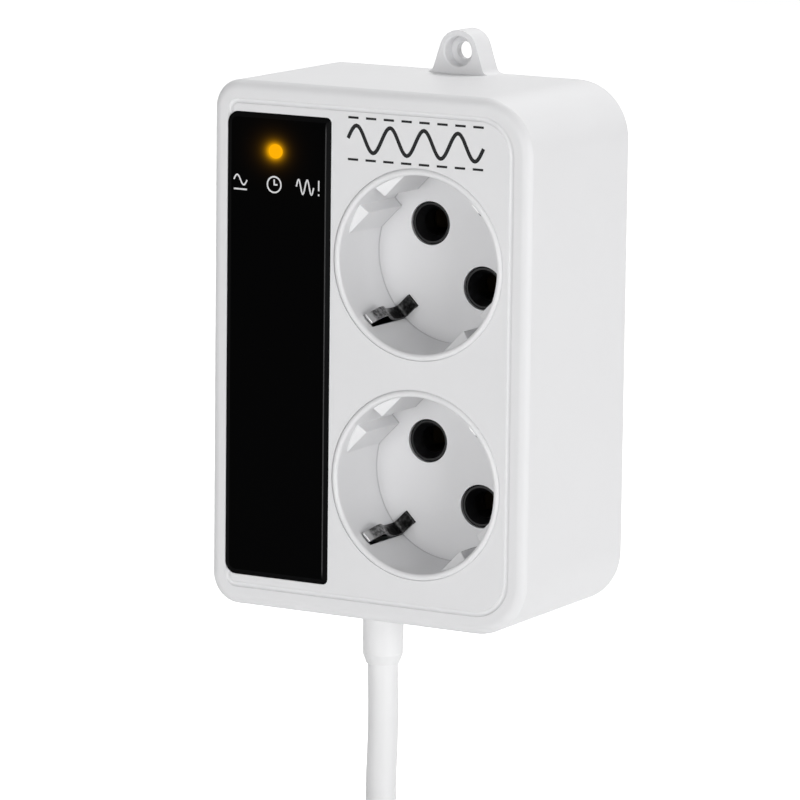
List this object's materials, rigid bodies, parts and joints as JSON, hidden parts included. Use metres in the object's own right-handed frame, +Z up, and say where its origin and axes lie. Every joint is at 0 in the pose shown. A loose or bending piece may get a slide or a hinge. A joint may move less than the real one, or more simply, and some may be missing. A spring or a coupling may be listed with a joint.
{
  "type": "appliance voltage protector",
  "caption": "White wall-hung voltage protector with two earthed round outlets, a tall dark status window, a hanging ear, and a mains cord with a moulded plug.",
  "frame": {"origin": "centre of the hanging hole in the ear, in the plane where the screw head bears", "axes": "+X to the right seen from the front, +Y into the wall, +Z up; the case hangs below and in front of the origin"},
  "size_m": [0.08, 0.0464, 0.4138],
  "materials": {
    "case_white": "moulded plastic, semi-gloss",
    "cup_white": "moulded plastic, semi-gloss",
    "window_black": "smoked acrylic, polished",
    "insert_black": "moulded black plastic",
    "led_green": "tinted clear epoxy",
    "led_amber": "tinted clear epoxy, lit",
    "led_red": "tinted clear epoxy",
    "clip_nickel": "nickel-plated spring strip",
    "contact_brass": "plain brass strip",
    "screw_steel": "zinc-plated",
    "board_green": "glass-fibre board with solder mask",
    "relay_blue": "moulded relay case",
    "capacitor_yellow": "resin-filled box",
    "capacitor_dark": "sleeved can",
    "varistor_blue": "dipped ceramic disc",
    "fuse_glass": "glass tube with plated caps",
    "terminal_green": "moulded terminal block",
    "wire_brown": "insulated wire",
    "wire_blue": "insulated wire",
    "wire_green": "insulated wire, green and yellow",
    "cord_white": "soft white cord sheath",
    "tie_black": "woven hook-and-loop strap",
    "plug_white": "moulded plug",
    "pin_nickel": "nickel-plated brass"
  },
  "bodies": {
    "root": {"front_cover": "case_white", "rear_housing": "case_white", "display_window": "window_black", "led_holder": "insert_black", "led_normal": "led_green", "led_delay": "led_amber", "led_fault": "led_red", "outlet_cup_upper": "cup_white", "outlet_cup_lower": "cup_white", "pin_bush_upper_left": "insert_black", "pin_bush_upper_right": "insert_black", "pin_bush_lower_left": "insert_black", "pin_bush_lower_right": "insert_black", "earth_contact_upper": "clip_nickel", "earth_contact_lower": "clip_nickel", "live_bar": "contact_brass", "neutral_bar": "contact_brass", "contact_cover_upper": "insert_black", "contact_cover_lower": "insert_black", "contact_screws": "screw_steel", "circuit_board": "board_green", "board_screws": "screw_steel", "power_relay": "relay_blue", "film_capacitor": "capacitor_yellow", "filter_capacitor": "capacitor_dark", "varistor": "varistor_blue", "fuse": "fuse_glass", "control_chip": "insert_black", "bridge_rectifier": "insert_black", "terminal_block": "terminal_green", "live_lead": "wire_brown", "neutral_lead": "wire_blue", "switched_lead": "wire_brown", "return_lead": "wire_blue", "earth_lead": "wire_green", "earth_link": "wire_green", "cord_clamp": "cup_white", "clamp_screws": "screw_steel", "case_screws": "screw_steel", "strain_relief": "cord_white", "mains_cord": "cord_white", "cord_hank": "cord_white", "hank_tie": "tie_black", "plug_cord": "cord_white", "plug_body": "plug_white", "plug_pins": "pin_nickel", "plug_earth_strips": "pin_nickel"}
  },
  "joints": []
}
